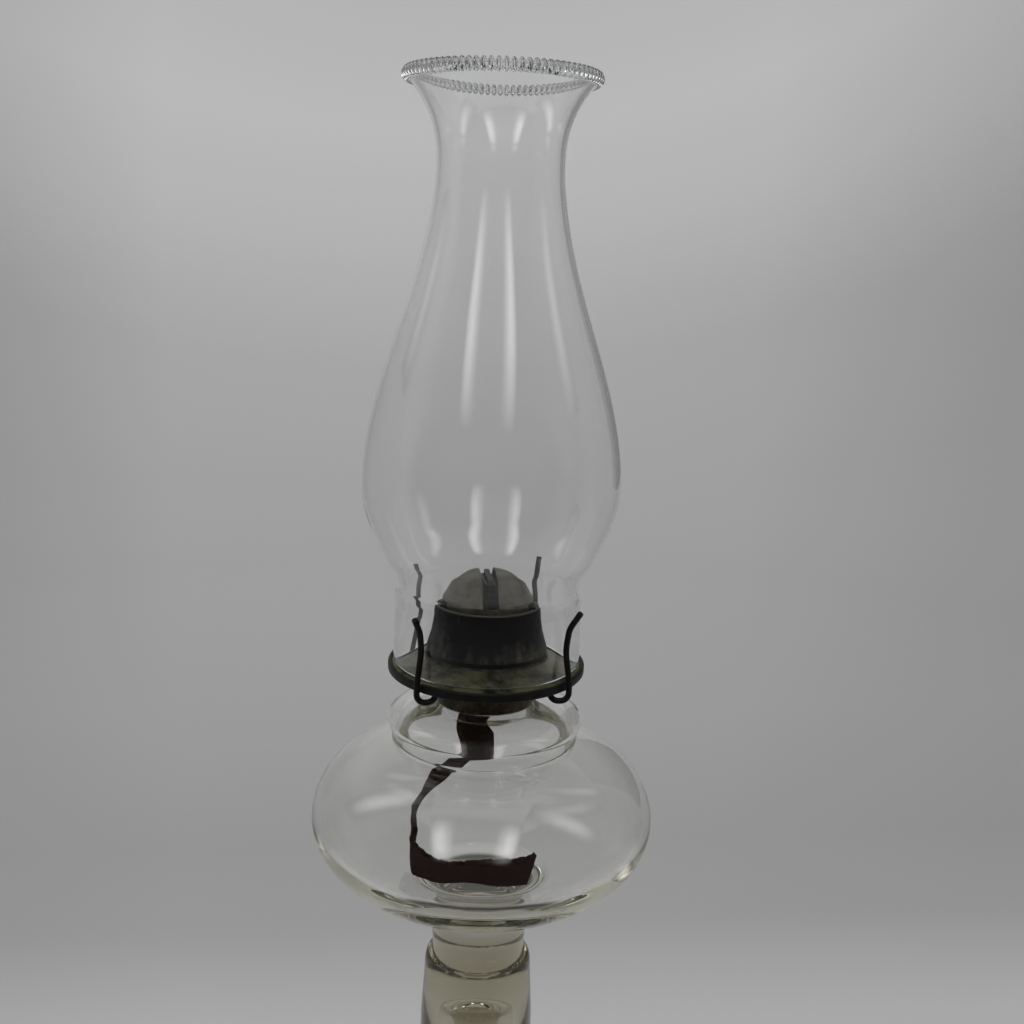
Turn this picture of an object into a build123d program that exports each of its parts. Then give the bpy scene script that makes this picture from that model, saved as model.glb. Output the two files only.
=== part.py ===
from build123d import *
import math
import os

os.makedirs("parts", exist_ok=True)

# Millimetres. Origin: centre of the foot on the table. +Z up, -Y the front, winder at the back.

# Pedestal, pressed glass, hollow below
PEDESTAL_HEIGHT = 102.5  # up to where the font is fused on
FOOT_DIA = 116.0
FOOT_EDGE = 3.5
FOOT_RING = 8.0
STEM_DIA = 40.4
STEM_HEIGHT = 24.5
STEM_TOP_DIA = 38.2
SHOULDER_DROP = 5.0
FLARE_POWER = 2.4
HOLLOW_CROWN = 16.5  # solid glass over the hollow
HOLLOW_TOP_DIA = 16.0
HOLLOW_DOME = 6.0
HOLLOW_POWER = 2.2
FLARE_STEPS = 7

# Font, pressed glass
WAIST_DIA = 32.4
WAIST_TOP_DIA = 33.4
WAIST_HEIGHT = 7.0
BODY_LIFT = 47.5  # widest part of the font above the waist
BODY_DIA = 118.6
BODY_RISE = 34.0
BODY_DROP = 31.5
UNDER_DIA = 52.0  # where the round body turns into the waist
FLOOR_DROP = 23.0  # inside floor below the widest part
GLASS_WALL = 3.7
STEP_DIA = 62.6  # groove under the cap
CAP_DIA = 66.8
CAP_WALL = 6.0
CAP_DOME = 6.82
NECK_DIA = 29.2
NECK_BORE_DIA = 24.0
NECK_RISE = 6.2
BODY_STEPS = 7

# Collar, brass, set on the neck with plaster
COLLAR_DIA = 33.0
COLLAR_SHEET = 0.6
COLLAR_HEIGHT = 7.0
COLLAR_TOP_GAP = 4.0  # collar top below the gallery rim
COLLAR_BORE_DIA = 22.3
SLEEVE_DEPTH = 5.5
CEMENT_SET_BACK = 0.5

# Clearances
RUN_GAP = 0.3  # between pieces that move past each other
FIT_GAP = 0.08  # screw shell in the collar
SHAFT_GAP = 0.05
SEAT_GAP = 0.05
PRONG_GAP = 0.5
WICK_GAP = 0.4

# Burner, sheet brass, for a flat wick
SHEET = 0.6
BURNER_FLANGE_DIA = 31.0
SHELL_DEPTH = 5.8
BASKET_SHEET = 0.4
BASKET_FOOT_DIA = 32.0
BASKET_LIP = 3.0
BASKET_TOP_DIA = 38.0
BASKET_HOLES = 20
BASKET_HOLE_DIA = 2.2
DECK_HOLE_DIA = 30.0
DECK_RIM_RISE = 2.7
DECK_SLOPE = 0.379
RIM_DIA = 67.0
RIM_BAND = 1.5
RIM_HEIGHT = 3.0
RIM_ROUND = 0.6
DRUM_FOOT_DIA = 40.8
DRUM_BEAD = 0.6
DRUM_GROOVE_DIA = 38.6
DRUM_GROOVE = 1.5
DRUM_SKIRT_DIA = 40.2
DRUM_SKIRT = 0.8
DRUM_WAIST_DIA = 37.6
DRUM_WAIST_RISE = 7.2
DRUM_TOP_DIA = 35.2
DRUM_TOP_RISE = 23.8
DRUM_LIP = 1.4
DIFFUSER_DIA = 34.0
DIFFUSER_SHEET = 0.5
PUNCH_DEPTH = 2.0
DIFFUSER_HOLES = 18
DIFFUSER_HOLE_DIA = 2.0
DIFFUSER_PITCH_DIA = 23.0
SKIRT_DIA = 27.2
DOME_DIA = 30.4
DOME_FLARE = 1.2
DOME_FLARE_RISE = 0.8
DOME_RISE = 26.2
FLANGE_THICK = 0.6
DOME_CONE_DIA = 19.0
DOME_CONE = 5.7
DOME_CROWN = 2.4
DOME_SLOT = 5.2
SLOT_SHIFT = 0.4

# Wick and its tube
WICK_WIDTH = 15.9
WICK_THICK = 2.0
WICK_RISE = 33.2
TUBE_SHEET = 0.5
TUBE_RISE = 31.6
TUBE_DROP = 9.0
TUBE_ROUND = 1.0
WICK_DRIFT = 24.0
WICK_WAVE = 6.8
WAVE_RUN = 0.4  # share of the hanging wick that bows out
SWING_START = 0.36  # share of the hanging wick above its swing to the side
SWING_EASE = 0.14
SWING_LEAD = 0.55  # how much of the swing comes early
WICK_TWIST = 27.0
WICK_BEND = 10.0
WICK_LIFT = 11.2  # middle of the coil above the floor of the font
COIL_WIDE = 27.0
COIL_DEEP = 14.0
COIL_TURN = 116.0
COIL_LEAN = 34.0
LEAN_RUN = 0.8  # share of a half wave that the lean goes through
DRIFT_STEPS = 24
BEND_STEPS = 5
COIL_STEPS = 12

# Wick winder
SHAFT_DIA = 1.8
SHAFT_DROP = 1.2
SHAFT_FRONT = 17.0
SHAFT_BACK = 42.0
STAR_TEETH = 8
STAR_DIA = 6.6
STAR_ROOT = 0.62
STAR_THICK = 1.2
STAR_SPREAD = 4.5
WINDOW_GAP = 0.5
THUMB_DIA = 17.0
THUMB_THICK = 2.5
THUMB_EDGE = 0.5
THUMB_HUB_DIA = 5.0
THUMB_HUB = 1.6
THUMB_NOTCHES = 22
THUMB_NOTCH_DIA = 1.5
BUSH_DIA = 3.1
BUSH_LONG = 6.5

# Chimney, blown glass
FITTER_DIA = 63.5
CHIMNEY_HEIGHT = 190.5
CHIMNEY_WALL = 1.7
FITTER_HEIGHT = 22.0
PINCH_DIA = 61.0
PINCH_RISE = 25.6
BULGE_START_DIA = 72.4
BULGE_START_RISE = 37.4
BULGE_DIA = 86.0
BULGE_RISE = 60.2
THROAT_DIA = 40.8
THROAT_RISE = 163.0
CROWN_DIA = 58.6
CROWN_POWER = 2.4
PEARL_DIA = 4.4
CROWN_SINK = 1.0  # how far the wall reaches into the pearl rim
TAPER_STEPS = 9
CROWN_STEPS = 6

# Prongs, spring wire
WIRE_DIA = 2.0
PRONG_ANGLES = {"back_right": 52.0, "back_left": 135.0, "front_left": 225.0, "front_right": 315.0}
PRONG_TIP_RISES = {"back_right": 31.6, "back_left": 29.6, "front_left": 25.4, "front_right": 27.6}
PRONG_FLARES = {"back_right": 2.6, "back_left": 2.6, "front_left": 3.4, "front_right": 5.2}
PRONG_HANDS = {"back_right": 1, "back_left": -1, "front_left": 1, "front_right": -1}
PRONG_HEEL = 4.0
PRONG_DROP = 1.4
PRONG_SHANK = 3.0
PRONG_TOUCH_RISE = 14.0
PRONG_CURL = 0.22  # share of the flare where the tip starts to curl
PRONG_CURL_RISE = 0.55
PRONG_INNER_RISE = 1.0
PRONG_INNER_GAP = 0.7
HEEL_ROUND = 2.8
SHANK_ROUND = 12.0
TOUCH_ROUND = 16.0
CURL_ROUND = 9.0

# Heights and radii that follow from the sizes above
waist_z = PEDESTAL_HEIGHT
waist_top_z = waist_z + WAIST_HEIGHT
body_z = waist_top_z + BODY_LIFT
floor_z = body_z - FLOOR_DROP
body_r = BODY_DIA / 2
step_r = STEP_DIA / 2
step_z = body_z + BODY_RISE * math.sin(math.acos(step_r / body_r))
cap_z = step_z + CAP_WALL
neck_foot_z = cap_z + CAP_DOME
neck_top_z = neck_foot_z + NECK_RISE
collar_foot_z = neck_foot_z + RUN_GAP
collar_top_z = collar_foot_z + COLLAR_HEIGHT
gallery_z = collar_top_z + COLLAR_TOP_GAP  # lower edge of the gallery rim
flange_z = collar_top_z + RUN_GAP
basket_z = flange_z + SHEET + RUN_GAP
shaft_z = gallery_z - SHAFT_DROP
wick_face = WICK_THICK / 2
shaft_x = wick_face + RUN_GAP + STAR_DIA / 2
tube_in_x = WICK_THICK / 2 + WICK_GAP
tube_in_y = WICK_WIDTH / 2 + WICK_GAP
rim_in = RIM_DIA / 2 - RIM_BAND


def rz(r, z):
    return (r, 0, z)


def spin(*edges):
    return revolve(make_face(edges), Axis.Z)


def polygon_spin(*pts):
    return spin(Polyline(*pts, close=True))


def steps(count):
    return [i / count for i in range(count + 1)]


def ease(t):
    return t * t * (3 - 2 * t)


def ellipse(a, b, z, first, last):
    angles = [first + (last - first) * t for t in steps(BODY_STEPS)]
    pts = [rz(a * math.cos(v), z + b * math.sin(v)) for v in angles]
    way = math.copysign(1, last - first)
    ends = [rz(-a * math.sin(v) * way, b * math.cos(v) * way) for v in (first, last)]
    return Spline(pts, tangents=ends)


def deck_z(r):
    return gallery_z + DECK_RIM_RISE + DECK_SLOPE * (rim_in - r)


def along_y(radius, y0, y1, x=0.0, z=0.0):
    return Plane((x, y0, z), x_dir=(1, 0, 0), z_dir=(0, 1, 0)) * Cylinder(
        radius, y1 - y0, align=(Align.CENTER, Align.CENTER, Align.MIN)
    )


# Pedestal: a flared stem on a round foot, hollow from below
foot_r = FOOT_DIA / 2
stem_r = STEM_DIA / 2
shoulder_z = waist_z - SHOULDER_DROP
stem_low_z = waist_z - STEM_HEIGHT
hollow_top_z = waist_z - HOLLOW_CROWN
flare = [
    rz(
        stem_r + (foot_r - stem_r) * (1 - t) ** FLARE_POWER,
        FOOT_EDGE + (stem_low_z - FOOT_EDGE) * t,
    )
    for t in steps(FLARE_STEPS)
]
hollow_r = HOLLOW_TOP_DIA / 2
hollow_z = hollow_top_z - HOLLOW_DOME
hollow = [
    rz(
        hollow_r + (foot_r - FOOT_RING - hollow_r) * (1 - t) ** HOLLOW_POWER,
        hollow_z * t,
    )
    for t in steps(FLARE_STEPS)
]
pedestal = spin(
    Line(hollow[0], rz(foot_r, 0)),
    Line(rz(foot_r, 0), flare[0]),
    Spline(flare),
    Line(flare[-1], rz(STEM_TOP_DIA / 2, shoulder_z)),
    Spline(
        [rz(STEM_TOP_DIA / 2, shoulder_z), rz(WAIST_DIA / 2, waist_z)],
        tangents=[(0, 0, 1), (-1, 0, 0)],
    ),
    Line(rz(WAIST_DIA / 2, waist_z), rz(0, waist_z)),
    Line(rz(0, waist_z), rz(0, hollow_top_z)),
    Spline(
        [rz(0, hollow_top_z), hollow[-1]],
        tangents=[(1, 0, 0), (0, 0, -1)],
    ),
    Spline(hollow[::-1]),
)

# Font: squat round body, stepped cap and neck, solid waist below
under = math.acos(UNDER_DIA / 2 / body_r)
over = math.acos(step_r / body_r)
in_r = body_r - GLASS_WALL
in_rise = BODY_RISE - GLASS_WALL
in_step_r = step_r - GLASS_WALL
in_over = math.acos(in_step_r / in_r)
under_z = body_z - BODY_DROP * math.sin(under)
in_step_z = body_z + in_rise * math.sin(in_over)
cap_r = CAP_DIA / 2
in_cap_z = in_step_z + CAP_WALL
in_cap_r = cap_r - GLASS_WALL
in_neck_z = in_cap_z + CAP_DOME - GLASS_WALL / 2
neck_r = NECK_DIA / 2
bore_r = NECK_BORE_DIA / 2
font = spin(
    Line(rz(0, waist_z), rz(WAIST_DIA / 2, waist_z)),
    Line(rz(WAIST_DIA / 2, waist_z), rz(WAIST_TOP_DIA / 2, waist_top_z)),
    Spline(
        [rz(WAIST_TOP_DIA / 2, waist_top_z), rz(UNDER_DIA / 2, under_z)],
        tangents=[
            (0, 0, 1),
            rz(body_r * math.sin(under), BODY_DROP * math.cos(under)),
        ],
    ),
    ellipse(body_r, BODY_DROP, body_z, -under, 0),
    ellipse(body_r, BODY_RISE, body_z, 0, over),
    Line(rz(step_r, step_z), rz(cap_r, cap_z)),
    Spline(
        [rz(cap_r, cap_z), rz(neck_r, neck_foot_z)],
        tangents=[(0, 0, 1), (-1, 0, 0)],
    ),
    Line(rz(neck_r, neck_foot_z), rz(neck_r, neck_top_z)),
    Line(rz(neck_r, neck_top_z), rz(bore_r, neck_top_z)),
    Line(rz(bore_r, neck_top_z), rz(bore_r, in_neck_z)),
    Spline(
        [rz(bore_r, in_neck_z), rz(in_cap_r, in_cap_z)],
        tangents=[(1, 0, 0), (0, 0, -1)],
    ),
    Line(rz(in_cap_r, in_cap_z), rz(in_step_r, in_step_z)),
    ellipse(in_r, in_rise, body_z, in_over, 0),
    ellipse(in_r, body_z - floor_z, body_z, 0, -math.pi / 2),
    Line(rz(0, floor_z), rz(0, waist_z)),
)
cap_seam = Plane.XY.offset(step_z)
font_cap = split(font, cap_seam, keep=Keep.TOP)
font = split(font, cap_seam, keep=Keep.BOTTOM)

# Collar and the plaster that holds it
collar_r = COLLAR_DIA / 2
sleeve_r = COLLAR_BORE_DIA / 2 + COLLAR_SHEET
under_top_z = collar_top_z - COLLAR_SHEET
collar = polygon_spin(
    rz(collar_r, collar_foot_z),
    rz(collar_r, collar_top_z),
    rz(COLLAR_BORE_DIA / 2, collar_top_z),
    rz(COLLAR_BORE_DIA / 2, collar_top_z - SLEEVE_DEPTH),
    rz(sleeve_r, collar_top_z - SLEEVE_DEPTH),
    rz(sleeve_r, under_top_z),
    rz(collar_r - COLLAR_SHEET, under_top_z),
    rz(collar_r - COLLAR_SHEET, collar_foot_z),
)
top_edges = collar.edges().filter_by(GeomType.CIRCLE).group_by(Axis.Z)[-1]
collar = fillet(top_edges.sort_by(SortBy.RADIUS)[-1], COLLAR_SHEET)
collar_cement = polygon_spin(
    rz(neck_r, collar_foot_z + CEMENT_SET_BACK),
    rz(collar_r - COLLAR_SHEET, collar_foot_z + CEMENT_SET_BACK),
    rz(collar_r - COLLAR_SHEET, under_top_z),
    rz(sleeve_r, under_top_z),
    rz(sleeve_r, neck_top_z),
    rz(neck_r, neck_top_z),
)

# Screw shell that turns into the collar
shell_r = COLLAR_BORE_DIA / 2 - FIT_GAP
thread_shell = polygon_spin(
    rz(shell_r - SHEET, collar_top_z - SHELL_DEPTH),
    rz(shell_r, collar_top_z - SHELL_DEPTH),
    rz(shell_r, flange_z),
    rz(BURNER_FLANGE_DIA / 2, flange_z),
    rz(BURNER_FLANGE_DIA / 2, flange_z + SHEET),
    rz(shell_r - SHEET, flange_z + SHEET),
)

# Air basket under the gallery, pierced all round, with the winder's bearings
foot = BASKET_FOOT_DIA / 2
top = BASKET_TOP_DIA / 2
basket_top_z = deck_z(top) - SHEET / math.cos(math.atan(DECK_SLOPE))
air_basket = polygon_spin(
    rz(foot - BASKET_LIP, basket_z),
    rz(foot, basket_z),
    rz(top, basket_top_z),
    rz(top - BASKET_SHEET, basket_top_z),
    rz(foot - BASKET_SHEET, basket_z + BASKET_SHEET),
    rz(foot - BASKET_LIP, basket_z + BASKET_SHEET),
)
hole_z = (basket_z + basket_top_z) / 2 + BASKET_HOLE_DIA / 2
pierced = [
    Rot(0, 0, (i + 0.5) * 360 / BASKET_HOLES)
    * along_y(BASKET_HOLE_DIA / 2, foot - BASKET_LIP, top + BASKET_LIP, 0, hole_z)
    for i in range(BASKET_HOLES)
]
shaft_hole_r = SHAFT_DIA / 2 + SHAFT_GAP
air_basket -= pierced
air_basket -= along_y(shaft_hole_r, -top - BASKET_LIP, 0, shaft_x, shaft_z)
air_basket -= along_y(BUSH_DIA / 2, 0, top + BASKET_LIP, shaft_x, shaft_z)
bush_y = math.sqrt(foot**2 - shaft_x**2) - BASKET_LIP / 2
winder_bush = along_y(BUSH_DIA / 2, bush_y, bush_y + BUSH_LONG, shaft_x, shaft_z)
winder_bush -= along_y(shaft_hole_r, 0, SHAFT_BACK, shaft_x, shaft_z)

# Gallery: conical deck with a band round its edge
deck_in = DECK_HOLE_DIA / 2
deck_drop = SHEET / math.cos(math.atan(DECK_SLOPE))
gallery_plate = polygon_spin(
    rz(deck_in, deck_z(deck_in)),
    rz(rim_in, deck_z(rim_in)),
    rz(rim_in, deck_z(rim_in) - deck_drop),
    rz(deck_in, deck_z(deck_in) - deck_drop),
)
gallery_rim = polygon_spin(
    rz(rim_in, gallery_z),
    rz(RIM_DIA / 2, gallery_z),
    rz(RIM_DIA / 2, gallery_z + RIM_HEIGHT),
    rz(rim_in, gallery_z + RIM_HEIGHT),
)
gallery_rim = fillet(gallery_rim.edges().filter_by(GeomType.CIRCLE), RIM_ROUND)

# Drum on the deck, with a beaded foot and a lip turned in at the top
drum_foot = DRUM_FOOT_DIA / 2
drum_top = DRUM_TOP_DIA / 2
drum_z = deck_z(drum_foot)
lip_z = gallery_z + DRUM_TOP_RISE
bead_z = drum_z + DRUM_BEAD
groove_z = bead_z + DRUM_GROOVE
skirt_z = groove_z + DRUM_SKIRT


def drum_path(inset):
    groove = DRUM_GROOVE_DIA / 2 - inset
    flare = DRUM_SKIRT_DIA / 2 - inset
    return [
        rz(drum_foot - inset, deck_z(drum_foot - inset)),
        rz(drum_foot - inset, bead_z),
        rz(groove, bead_z),
        rz(groove, groove_z),
        rz(flare, groove_z),
        rz(flare, skirt_z),
        rz(DRUM_WAIST_DIA / 2 - inset, drum_z + DRUM_WAIST_RISE),
        rz(drum_top - inset, lip_z - inset),
        rz(drum_top - DRUM_LIP, lip_z - inset),
    ]


drum_line = drum_path(0) + drum_path(SHEET)[::-1]
drum = polygon_spin(*drum_line)
drum_edges = drum.edges().filter_by(GeomType.CIRCLE).group_by(Axis.Z)
drum = fillet(drum_edges[-1].sort_by(SortBy.RADIUS)[-1], SHEET)

# Perforated diffuser inside the drum, which carries the dome and the wick tube
diffuser_z = deck_z(deck_in) + SEAT_GAP
diffuser_top_z = diffuser_z + DIFFUSER_SHEET
tube_x = tube_in_x + TUBE_SHEET
tube_y = tube_in_y + TUBE_SHEET
air_diffuser = Pos(0, 0, diffuser_z) * Cylinder(
    DIFFUSER_DIA / 2, DIFFUSER_SHEET, align=(Align.CENTER, Align.CENTER, Align.MIN)
)
air_diffuser -= Pos(0, 0, diffuser_z) * Box(
    2 * (tube_x + SEAT_GAP), 2 * (tube_y + SEAT_GAP), PUNCH_DEPTH
)
holes = [
    loc * Cylinder(DIFFUSER_HOLE_DIA / 2, PUNCH_DEPTH)
    for loc in PolarLocations(DIFFUSER_PITCH_DIA / 2, DIFFUSER_HOLES)
    if abs((Pos(0, 0, 0) * loc).position.X) > tube_x + DIFFUSER_HOLE_DIA
]
air_diffuser -= [Pos(0, 0, diffuser_z) * hole for hole in holes]

# Flame dome: a skirt, a flange and a flattened cone split by the flame slot
skirt = SKIRT_DIA / 2
dome_r = DOME_DIA / 2
dome_z = gallery_z + DOME_RISE
brim_z = dome_z + FLANGE_THICK
cone_r = DOME_CONE_DIA / 2
cone_z = brim_z + DOME_CONE
crown_z = cone_z + DOME_CROWN
slant = (dome_r - cone_r, DOME_CONE)
fold = SHEET * math.hypot(*slant) / slant[0]
inner_z = brim_z + DOME_CONE * (dome_r - skirt + SHEET) / slant[0] - fold
flame_dome = spin(
    Polyline(
        rz(0, crown_z - SHEET),
        rz(0, crown_z),
    ),
    Spline(
        [rz(0, crown_z), rz(cone_r, cone_z)],
        tangents=[(1, 0, 0), rz(slant[0], -slant[1])],
    ),
    Polyline(
        rz(cone_r, cone_z),
        rz(dome_r - DOME_FLARE, brim_z + DOME_FLARE_RISE),
        rz(dome_r, brim_z),
        rz(dome_r, dome_z),
        rz(skirt, dome_z),
        rz(skirt, diffuser_top_z),
        rz(skirt - SHEET, diffuser_top_z),
        rz(skirt - SHEET, inner_z),
        rz(cone_r, cone_z - fold),
    ),
    Spline(
        [rz(cone_r, cone_z - fold), rz(0, crown_z - SHEET)],
        tangents=[rz(-slant[0], slant[1]), (-1, 0, 0)],
    ),
)
flame_dome -= Pos(-SLOT_SHIFT, 0, dome_z) * Box(
    DOME_SLOT,
    DOME_DIA * 2,
    DOME_DIA,
    align=(Align.CENTER, Align.CENTER, Align.MIN),
)

# Flat wick tube with windows for the star wheels
tube_bottom = gallery_z - TUBE_DROP
outer = RectangleRounded(2 * tube_x, 2 * tube_y, TUBE_ROUND)
inner = RectangleRounded(2 * tube_in_x, 2 * tube_in_y, TUBE_ROUND - TUBE_SHEET)
wick_tube = Pos(0, 0, tube_bottom) * extrude(outer - inner, TUBE_DROP + TUBE_RISE)
window_half = math.sqrt((STAR_DIA / 2) ** 2 - (shaft_x - tube_x) ** 2) + WINDOW_GAP
for side in (-1, 1):
    wick_tube -= Pos(shaft_x, side * STAR_SPREAD, shaft_z) * Box(
        2 * (shaft_x - tube_in_x) + TUBE_SHEET,
        STAR_THICK + 2 * WINDOW_GAP,
        2 * window_half,
    )

# Wick winder: shaft, two star wheels, milled thumb wheel
winder_shaft = along_y(SHAFT_DIA / 2, -SHAFT_FRONT, SHAFT_BACK, shaft_x, shaft_z)
star_r = STAR_DIA / 2
star_pts = [
    (
        star_r * (1 if i % 2 == 0 else STAR_ROOT) * math.cos(math.pi * i / STAR_TEETH),
        star_r * (1 if i % 2 == 0 else STAR_ROOT) * math.sin(math.pi * i / STAR_TEETH),
    )
    for i in range(2 * STAR_TEETH)
]
star = make_face(Polyline(*star_pts, close=True)) - Circle(SHAFT_DIA / 2)
stars = {}
for name, side in (("front", -1), ("back", 1)):
    at = Plane(
        (shaft_x, side * STAR_SPREAD - STAR_THICK / 2, shaft_z),
        x_dir=(1, 0, 0),
        z_dir=(0, 1, 0),
    )
    stars[name] = at * extrude(star, STAR_THICK)
thumb_y = SHAFT_BACK - THUMB_THICK - SHAFT_DIA / 2
thumb_wheel = along_y(THUMB_DIA / 2, thumb_y, thumb_y + THUMB_THICK, shaft_x, shaft_z)
thumb_wheel = chamfer(
    thumb_wheel.edges().filter_by(GeomType.CIRCLE), THUMB_EDGE
)
thumb_wheel += along_y(THUMB_HUB_DIA / 2, thumb_y - THUMB_HUB, thumb_y, shaft_x, shaft_z)
notches = [
    Pos(
        shaft_x + THUMB_DIA / 2 * math.cos(2 * math.pi * i / THUMB_NOTCHES),
        0,
        shaft_z + THUMB_DIA / 2 * math.sin(2 * math.pi * i / THUMB_NOTCHES),
    )
    * along_y(THUMB_NOTCH_DIA / 2, thumb_y - THUMB_HUB, SHAFT_BACK)
    for i in range(THUMB_NOTCHES)
]
thumb_wheel -= notches
thumb_wheel -= along_y(SHAFT_DIA / 2, 0, SHAFT_BACK, shaft_x, shaft_z)

# Chimney: straight fitter, pinched shoulder, bulge, long taper, flared crown, pearl rim
seat_r = FITTER_DIA / 2 - CHIMNEY_WALL
chimney_z = deck_z(seat_r) + RUN_GAP
bulge_r = BULGE_DIA / 2
throat_r = THROAT_DIA / 2
crown_r = CROWN_DIA / 2
crown_rise = CHIMNEY_HEIGHT - PEARL_DIA + CROWN_SINK
outline = [(PINCH_DIA / 2, PINCH_RISE), (BULGE_START_DIA / 2, BULGE_START_RISE)]
outline += [
    (
        bulge_r + (throat_r - bulge_r) * ease(t),
        BULGE_RISE + (THROAT_RISE - BULGE_RISE) * t,
    )
    for t in steps(TAPER_STEPS)
]
outline += [
    (
        throat_r + (crown_r - throat_r) * t**CROWN_POWER,
        THROAT_RISE + (crown_rise - THROAT_RISE) * t,
    )
    for t in steps(CROWN_STEPS)[1:]
]


def inset(line, wall):
    moved = []
    for i, (r, z) in enumerate(line):
        a = line[max(i - 1, 0)]
        b = line[min(i + 1, len(line) - 1)]
        run = math.hypot(b[0] - a[0], b[1] - a[1])
        moved.append((r - wall * (b[1] - a[1]) / run, z + wall * (b[0] - a[0]) / run))
    return moved


outer_line = [rz(r, chimney_z + z) for r, z in outline]
inner_line = [rz(r, chimney_z + z) for r, z in inset(outline, CHIMNEY_WALL)]
fitter_r = FITTER_DIA / 2
fitter_z = chimney_z + FITTER_HEIGHT
chimney = spin(
    Line(rz(seat_r, chimney_z), rz(fitter_r, chimney_z)),
    Line(rz(fitter_r, chimney_z), rz(fitter_r, fitter_z)),
    Line(rz(fitter_r, fitter_z), outer_line[0]),
    Spline(outer_line),
    Line(outer_line[-1], inner_line[-1]),
    Spline(inner_line[::-1]),
    Line(inner_line[0], rz(seat_r, fitter_z)),
    Line(rz(seat_r, fitter_z), rz(seat_r, chimney_z)),
)
pearl_z = chimney_z + CHIMNEY_HEIGHT - PEARL_DIA / 2
chimney += Pos(0, 0, pearl_z) * Torus(crown_r, PEARL_DIA / 2)

# Prongs: a hook under the rim, a shank that leans in to the chimney, a tip curled out
wire_r = WIRE_DIA / 2
touch_r = fitter_r + RUN_GAP + wire_r
shank_r = RIM_DIA / 2 + PRONG_GAP + wire_r
heel_r = rim_in - PRONG_INNER_GAP - wire_r
heel_z = gallery_z - PRONG_GAP - PRONG_DROP - wire_r


def prong(hand, tip_rise, flare):
    curl_rise = PRONG_TOUCH_RISE + PRONG_CURL_RISE * (tip_rise - PRONG_TOUCH_RISE)
    pts = [
        (heel_r, hand * PRONG_HEEL, gallery_z + PRONG_INNER_RISE),
        (heel_r, hand * PRONG_HEEL, heel_z),
        (shank_r, 0, heel_z),
        (shank_r, 0, gallery_z + PRONG_SHANK),
        (touch_r, 0, gallery_z + PRONG_TOUCH_RISE),
        (touch_r + PRONG_CURL * flare, 0, gallery_z + curl_rise),
        (touch_r + flare, 0, gallery_z + tip_rise),
    ]
    bends = [HEEL_ROUND, HEEL_ROUND, SHANK_ROUND, TOUCH_ROUND, CURL_ROUND]
    path = FilletPolyline(*pts, radius=bends)
    start = Plane(pts[0], z_dir=(0, 0, -1))
    return sweep(start * Circle(wire_r), path=path)


prongs = {
    name: Rot(0, 0, angle) * prong(PRONG_HANDS[name], PRONG_TIP_RISES[name], PRONG_FLARES[name])
    for name, angle in PRONG_ANGLES.items()
}

# Wick: straight in the tube, drifts to one side of the font, turns on edge and lies in a coil
coil_z = floor_z + WICK_LIFT
bend_z = coil_z + WICK_BEND
sections = [((0, 0, gallery_z + WICK_RISE), (0, 0, -1), (0, 1, 0))]
drop = tube_bottom - bend_z


def drift(t):
    wave = math.sin(math.pi * min(t / WAVE_RUN, 1)) ** 2
    swing = max(t - SWING_START, 0) / (1 - SWING_START)
    swing *= (1 + SWING_LEAD * (1 - swing)) * ease(min(swing / SWING_EASE, 1))
    return -WICK_DRIFT * swing - WICK_WAVE * wave


for t in steps(DRIFT_STEPS):
    near = 1 / DRIFT_STEPS / 2
    early, late = max(t - near, 0), min(t + near, 1)
    level = t in (0, 1)
    ahead = Vector(0 if level else drift(late) - drift(early), 0, drop * (early - late)).normalized()
    twist = math.radians(WICK_TWIST) * math.sin(math.pi * t)
    across = Vector(0, 1, 0) * math.cos(twist) + ahead.cross(Vector(0, 1, 0)) * math.sin(twist)
    sections.append(((drift(t), 0, tube_bottom - drop * t), ahead, across))
for t in steps(BEND_STEPS)[1:]:
    v = t * math.pi / 2
    spot = (-WICK_DRIFT, -WICK_BEND * (1 - math.cos(v)), bend_z - WICK_BEND * math.sin(v))
    sections.append((spot, (0, -math.sin(v), -math.cos(v)), (0, math.cos(v), -math.sin(v))))
for t in steps(COIL_STEPS)[1:]:
    v = math.radians(COIL_TURN) * t
    spot = (
        COIL_WIDE * (1 - math.cos(v)) - WICK_DRIFT,
        -WICK_BEND - COIL_DEEP * math.sin(v),
        coil_z,
    )
    ahead = Vector(COIL_WIDE * math.sin(v), -COIL_DEEP * math.cos(v), 0).normalized()
    lean = math.radians(COIL_LEAN) * math.sin(math.pi * t * LEAN_RUN)
    across = Vector(0, 0, 1).cross(ahead) * math.sin(lean) - Vector(0, 0, 1) * math.cos(lean)
    sections.append((spot, ahead, across))
slices = [
    Plane(spot, x_dir=across, z_dir=ahead) * Rectangle(WICK_WIDTH, WICK_THICK)
    for spot, ahead, across in sections
]
wick = loft(slices, ruled=True)

nodes = {
    "pedestal": pedestal,
    "font": font,
    "font_cap": font_cap,
    "collar": collar,
    "collar_cement": collar_cement,
    "thread_shell": thread_shell,
    "air_basket": air_basket,
    "winder_bush": winder_bush,
    "gallery_plate": gallery_plate,
    "gallery_rim": gallery_rim,
    "drum": drum,
    "air_diffuser": air_diffuser,
    "flame_dome": flame_dome,
    "wick_tube": wick_tube,
    "wick": wick,
    "winder_shaft": winder_shaft,
    "star_wheel_front": stars["front"],
    "star_wheel_back": stars["back"],
    "thumb_wheel": thumb_wheel,
    "chimney": chimney,
}
for name, solid in prongs.items():
    nodes["prong_" + name] = solid
for name, solid in nodes.items():
    export_step(solid, os.path.join("parts", name + ".step"))
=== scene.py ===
"""Dresses the oil lamp: smooth glass, aged brass, sooted drum, woven wick, studio stage and camera."""

import math

import bpy
from bpy.props import (
    FloatProperty,
    FloatVectorProperty,
    IntProperty,
    PointerProperty,
)
from mathutils import Matrix, Vector


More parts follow.
